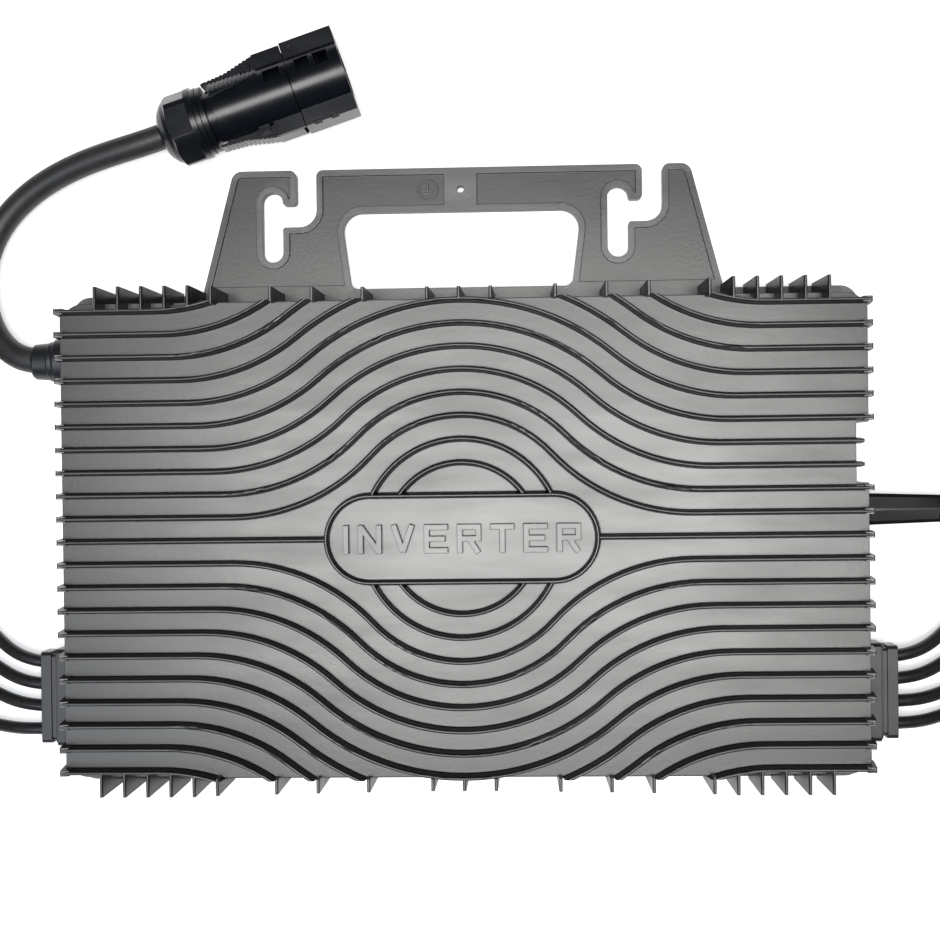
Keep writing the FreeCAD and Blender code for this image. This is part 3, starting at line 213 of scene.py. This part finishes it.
def metal(name, base, rough=0.3, brushed=(1.0, 30.0, 1.0)):
    g = Graph(name)
    lines = g.noise(300.0, 3.0, 0.6, stretch=brushed)
    tint = g.noise(60.0, 2.0)
    col = g.mix(tint, tuple(c * 0.88 for c in base), base)
    return g.set(Base_Color=col, Metallic=1.0, Roughness=g.span(lines, rough - 0.08, rough + 0.1, 0.3, 0.7), Normal=g.bump(lines, 0.08, 0.0001))


def board_material():
    g = Graph("board")
    v = g.node("ShaderNodeTexVoronoi", feature="DISTANCE_TO_EDGE", distance="CHEBYCHEV")
    v.inputs["Scale"].default_value = 160.0
    g.link(g.coord.outputs["Object"], v.inputs["Vector"])
    trace = g.span(v.outputs["Distance"], 1.0, 0.0, 0.02, 0.05)
    col = g.mix(trace, (0.008, 0.075, 0.035), (0.03, 0.16, 0.07))
    return g.set(Base_Color=col, Roughness=g.span(g.noise(400.0), 0.25, 0.4), Normal=g.bump(trace, 0.25, 0.00005))


MAT = {
    "powder_coat": powder("powder_coat"),
    "cover_coat": powder("cover_coat", (0.020, 0.0202, 0.0205), 0.42, 0.6),
    "steel": metal("steel", (0.62, 0.62, 0.60), 0.32),
    "seal_rubber": jacket("seal_rubber", (0.020, 0.020, 0.020), 0.65),
    "board": board_material(),
    "ferrite": plastic("ferrite", (0.045, 0.045, 0.05), 0.55, 0.5, 1400.0, 0.3),
    "winding": metal("winding", (0.72, 0.30, 0.13), 0.25, (1.0, 1.0, 40.0)),
    "capacitor_can": metal("capacitor_can", (0.55, 0.57, 0.60), 0.3),
    "film_case": plastic("film_case", (0.50, 0.22, 0.03), 0.25, 0.6),
    "component_plastic": plastic("component_plastic", (0.03, 0.03, 0.033), 0.45),
    "thermal_pad": jacket("thermal_pad", (0.42, 0.48, 0.56), 0.7),
    "tin": metal("tin", (0.72, 0.72, 0.70), 0.28),
    "plated_brass": metal("plated_brass", (0.78, 0.62, 0.33), 0.25),
    "contact": metal("contact", (0.80, 0.78, 0.73), 0.22),
    "grommet_rubber": plastic("grommet_rubber", (0.010, 0.011, 0.014), 0.38, 0.5, 700.0, 0.16, 0.0004),
    "cable_jacket": jacket("cable_jacket", (0.020, 0.020, 0.021), 0.46),
    "lead_jacket": jacket("lead_jacket", (0.012, 0.012, 0.013), 0.34),
    "connector_plastic": plastic("connector_plastic", (0.016, 0.016, 0.018), 0.36),
    "plug_plastic": plastic("plug_plastic", (0.004, 0.005, 0.008), 0.27, 0.35, 1100.0, 0.07),
    "antenna_plastic": plastic("antenna_plastic", (0.005, 0.005, 0.007), 0.24, 0.5, 1400.0, 0.05, 0.0003),
}

SLOT = {s["node"]: s["material_slot"] for s in frame["record"]["subparts"]}
for name, obj in NODES.items():
    mat = MAT[SLOT[name]]
    me = obj.data
    if not me.materials:
        me.materials.append(mat)
    for s in obj.material_slots:
        s.link = "OBJECT"
        s.material = mat


# ------------------------------------------------------------------ cords
def cord_curve(name, points, diameter, mat):
    cu = bpy.data.curves.new(name, "CURVE")
    cu.dimensions = "3D"
    cu.bevel_depth = diameter / 2
    cu.bevel_resolution = 6
    cu.resolution_u = 12
    cu.use_fill_caps = True
    sp = cu.splines.new("NURBS")
    sp.points.add(len(points) - 1)
    for p, q in zip(sp.points, points):
        p.co = (q[0] / 1000.0, q[1] / 1000.0, q[2] / 1000.0, 1.0)
    sp.order_u = 3
    sp.use_endpoint_u = True
    cu.materials.append(mat)
    ob = bpy.data.objects.new(name, cu)
    scene.collection.objects.link(ob)
    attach(ob, "inverter")
    return ob


GY, GZ = 82.4, 15.5
PANG = math.radians(18.4)
PX, PY, PZ = -136.0, 185.2, 16.6
UX, UY = math.cos(PANG), math.sin(PANG)
CABLE = [(-154.0, GY, GZ), (-178.0, GY + 0.04, GZ), (-200.0, GY + 0.35, GZ - 0.3), (-210.4, 87.4, 13.6), (-218.4, 96.6, 11.2), (-223.2, 108.6, 8.8),
         (-224.6, 122.6, 7.2), (-221.6, 136.4, 6.6), (-214.6, 149.0, 6.7), (-203.6, 159.8, 8.0), (-190.2, 168.0, 10.2),
         (-175.0, 174.2, 12.8), (-159.6, 178.6, 15.2), (PX - 8.0 * UX, PY - 8.0 * UY, PZ), (PX + 16.0 * UX, PY + 16.0 * UY, PZ)]
LEADS = {
    "l1": [(-161.0, -57.0, 16.0), (-178.0, -57.03, 16.0), (-196.0, -56.6, 15.9), (-208.5, -53.4, 13.6), (-219.0, -46.3, 9.8), (-230.6, -34.4, 6.2), (-239.0, -18.6, 3.8),
           (-244.6, 1.0, 3.0), (-246.4, 22.0, 3.2), (-246.0, 40.0, 6.4), (-246.0, 52.0, 9.6), (-246.0, 66.0, 9.7)],
    "l2": [(-161.0, -67.0, 16.0), (-178.0, -67.03, 16.0), (-196.0, -66.8, 15.9), (-208.5, -64.6, 13.6), (-220.0, -59.0, 9.6), (-235.0, -49.0, 5.8), (-248.0, -34.4, 3.6),
           (-259.0, -15.6, 3.0), (-266.0, 6.0, 3.0), (-268.6, 26.0, 3.2), (-268.2, 41.0, 6.6), (-268.0, 53.0, 9.6), (-268.0, 66.0, 9.7)],
    "l3": [(-161.0, -77.0, 16.0), (-178.0, -77.03, 16.0), (-196.0, -76.8, 15.9), (-208.5, -75.4, 13.6), (-221.0, -71.2, 9.4), (-238.6, -62.6, 5.6), (-256.0, -49.4, 3.4),
           (-271.0, -31.0, 3.0), (-282.6, -9.0, 3.0), (-289.0, 14.0, 3.0), (-290.6, 30.0, 3.4), (-290.2, 43.0, 6.8), (-290.0, 54.0, 9.6), (-290.0, 66.0, 9.7)],
    "l4": [(-161.0, -87.0, 16.0), (-178.0, -87.03, 16.0), (-196.0, -87.3, 15.9), (-208.5, -87.6, 13.6), (-222.0, -86.2, 9.2), (-241.0, -81.0, 5.4), (-260.6, -71.0, 3.2),
           (-280.0, -54.4, 3.0), (-295.6, -32.0, 3.0), (-306.6, -7.0, 3.0), (-312.0, 16.0, 3.0), (-313.0, 31.0, 3.4), (-312.3, 43.4, 6.8), (-312.0, 54.4, 9.6), (-312.0, 66.0, 9.7)],
    "r1": [(161.0, -57.0, 16.0), (178.0, -57.03, 16.0), (196.0, -56.6, 15.9), (207.5, -54.0, 13.8), (217.6, -47.8, 10.0), (228.6, -36.4, 6.6), (236.0, -21.6, 4.2),
           (240.6, -3.4, 3.0), (241.4, 16.0, 3.2), (241.0, 32.0, 6.6), (241.0, 43.0, 9.6), (241.0, 56.0, 9.7)],
    "r2": [(161.0, -67.0, 16.0), (178.0, -67.03, 16.0), (196.0, -66.8, 15.9), (207.5, -65.2, 13.8), (218.6, -60.4, 9.8), (233.0, -51.0, 6.2), (245.0, -36.8, 3.8),
           (255.0, -18.6, 3.0), (261.6, 2.0, 3.0), (263.6, 19.0, 3.3), (263.2, 33.0, 6.8), (263.0, 44.0, 9.6), (263.0, 56.0, 9.7)],
    "r3": [(161.0, -77.0, 16.0), (178.0, -77.03, 16.0), (196.0, -76.9, 15.9), (207.5, -76.4, 13.8), (219.0, -73.6, 9.8), (235.6, -66.8, 6.0), (252.0, -54.6, 3.6),
           (266.6, -37.0, 3.0), (277.6, -15.0, 3.0), (284.0, 7.0, 3.0), (285.8, 21.0, 3.4), (285.2, 34.0, 7.0), (285.0, 44.4, 9.6), (285.0, 56.0, 9.7)],
    "r4": [(161.0, -87.0, 16.0), (178.0, -87.03, 16.0), (196.0, -87.0, 15.9), (207.5, -86.6, 13.8), (219.6, -84.0, 9.6), (237.6, -77.6, 5.8), (256.6, -67.0, 3.4),
           (275.0, -50.6, 3.0), (290.0, -29.0, 3.0), (301.0, -5.0, 3.0), (306.6, 11.0, 3.0), (308.0, 23.0, 3.6), (307.3, 35.0, 7.0), (307.0, 45.0, 9.6), (307.0, 56.0, 9.7)],
}
ac = cord_curve("ac_lead", CABLE, 0.0118, MAT["cable_jacket"])
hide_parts("ac_cable")
for key, pts in LEADS.items():
    ob = cord_curve("pv_lead_" + key, pts, 0.0058, MAT["lead_jacket"])
    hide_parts("dc_lead_" + key)

# ------------------------------------------------------------------ floor and light
bm = bmesh.new()
bmesh.ops.create_grid(bm, x_segments=4, y_segments=4, size=4.0)
me = bpy.data.meshes.new("floor")
bm.to_mesh(me)
bm.free()
floor = bpy.data.objects.new("floor", me)
floor.location.z = -0.0002
scene.collection.objects.link(floor)
fg = Graph("floor_paper")
fcol = fg.mix(fg.noise(3.0), (0.86, 0.86, 0.86), (0.89, 0.89, 0.89))
floor.data.materials.append(fg.set(Base_Color=fcol, Roughness=0.9, Specular_IOR_Level=0.1, Emission_Color=(1.0, 1.0, 1.0), Emission_Strength=0.5))


def area(name, loc, size, energy, colour=(1, 1, 1), aim=(0, 0, 0), size_y=None):
    d = bpy.data.lights.new(name, "AREA")
    d.shape = "RECTANGLE"
    d.size = size
    d.size_y = size_y or size
    d.energy = energy
    d.color = colour
    o = bpy.data.objects.new(name, d)
    o.location = loc
    o.rotation_euler = (Vector(aim) - Vector(loc)).to_track_quat("-Z", "Y").to_euler()
    scene.collection.objects.link(o)
    return o


area("overhead", (0.03, -0.065, 1.7), 1.10, 32.0, (1.0, 0.997, 0.975), (0.03, -0.065, 0.0), 0.62)
area("window", (-0.95, -0.80, 1.55), 0.8, 9.0, (0.72, 0.84, 1.0))
world = bpy.data.worlds.new("world")
scene.world = world
world.use_nodes = True
world.node_tree.nodes["Background"].inputs[0].default_value = (0.9, 0.93, 1.0, 1.0)
world.node_tree.nodes["Background"].inputs[1].default_value = 0.04
